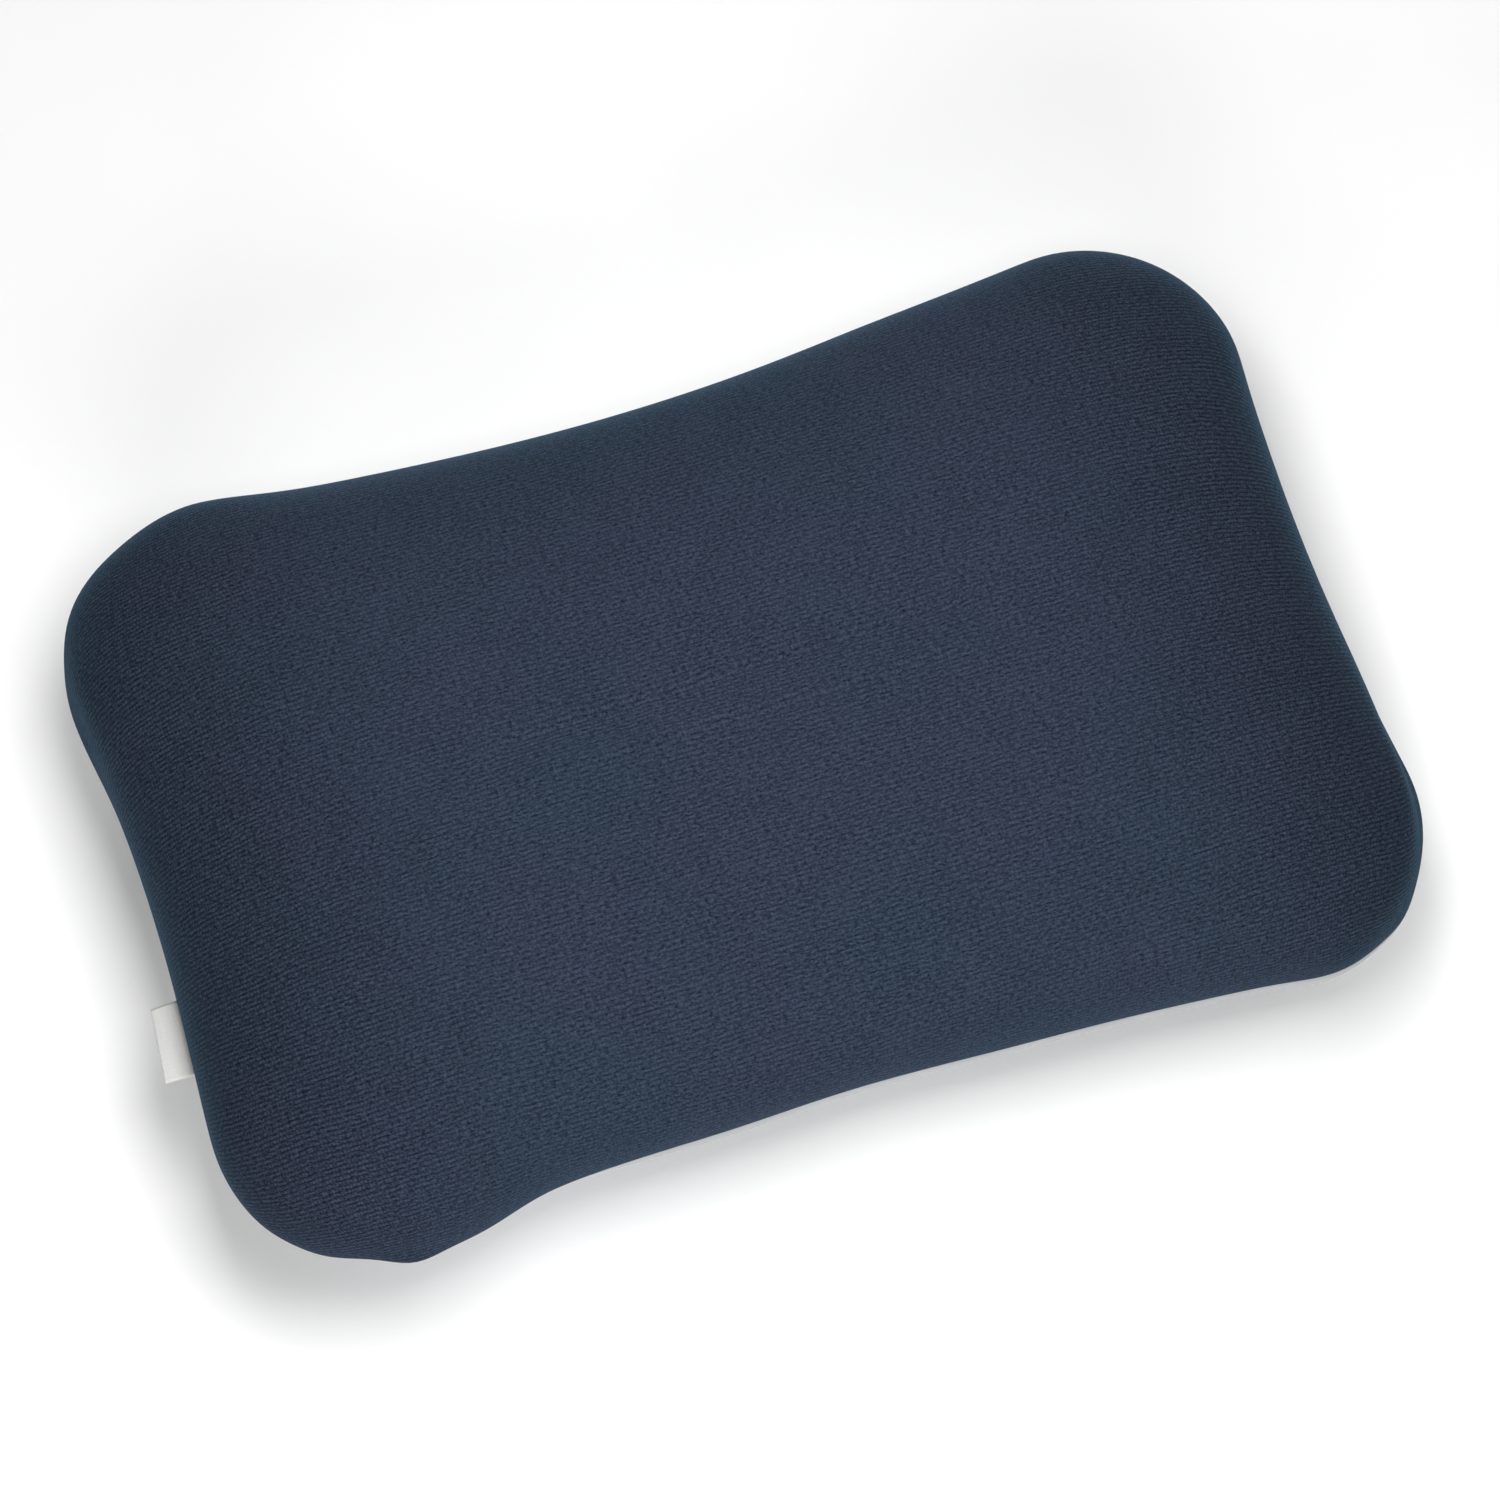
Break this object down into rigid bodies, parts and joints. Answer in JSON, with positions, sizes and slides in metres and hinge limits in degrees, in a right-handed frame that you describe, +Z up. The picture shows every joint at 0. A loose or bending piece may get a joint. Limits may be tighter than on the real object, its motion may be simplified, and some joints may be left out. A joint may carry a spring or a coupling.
{
  "type": "inflatable camp pillow",
  "caption": "Inflatable camp pillow: a dog-bone cushion with a soft knit top, a plain under cover, an air bladder and a flip-cap valve.",
  "frame": {"origin": "centre of the flat patch on the underside that the pillow rests on", "axes": "+X along the length, towards the end with the valve under it; +Y across; +Z up through the knit top"},
  "size_m": [0.4231, 0.2718, 0.1],
  "materials": {
    "top_knit": "matte",
    "under_fabric": "matte",
    "thread": "matte",
    "label_tape": "matte",
    "wadding": "matte",
    "bladder_film": "satin",
    "valve_body": "satin",
    "soft_plastic": "satin",
    "silicone": "satin"
  },
  "bodies": {
    "cushion": {"top_cover": "top_knit", "bottom_cover": "under_fabric", "seam_thread": "thread", "woven_label": "label_tape", "padding_sheet": "wadding", "bladder_top": "bladder_film", "bladder_bottom": "bladder_film", "baffle_left": "bladder_film", "baffle_middle": "bladder_film", "baffle_right": "bladder_film", "valve_patch": "under_fabric", "valve_base": "valve_body", "tether_ring": "soft_plastic"},
    "plug": {"deflate_plug": "soft_plastic"},
    "flap": {"check_flap": "silicone"},
    "cap": {"inflate_cap": "soft_plastic"}
  },
  "joints": [
    {"name": "plug_hinge", "type": "hinge", "parent": "cushion", "child": "plug", "pos_m": [0.1796, 0, 0.01334], "axis": [0, -1, 0], "range_deg": [0, 150]},
    {"name": "cap_hinge", "type": "hinge", "parent": "plug", "child": "cap", "pos_m": [0.15362, 0, 0.00122], "axis": [0, 1, 0], "range_deg": [0, 150]},
    {"name": "flap_lift", "type": "slide", "parent": "plug", "child": "flap", "axis": [-0.3585, 0, 0.9335], "range_m": [0, 0.0012], "stiffness_N_per_m": 5}
  ]
}
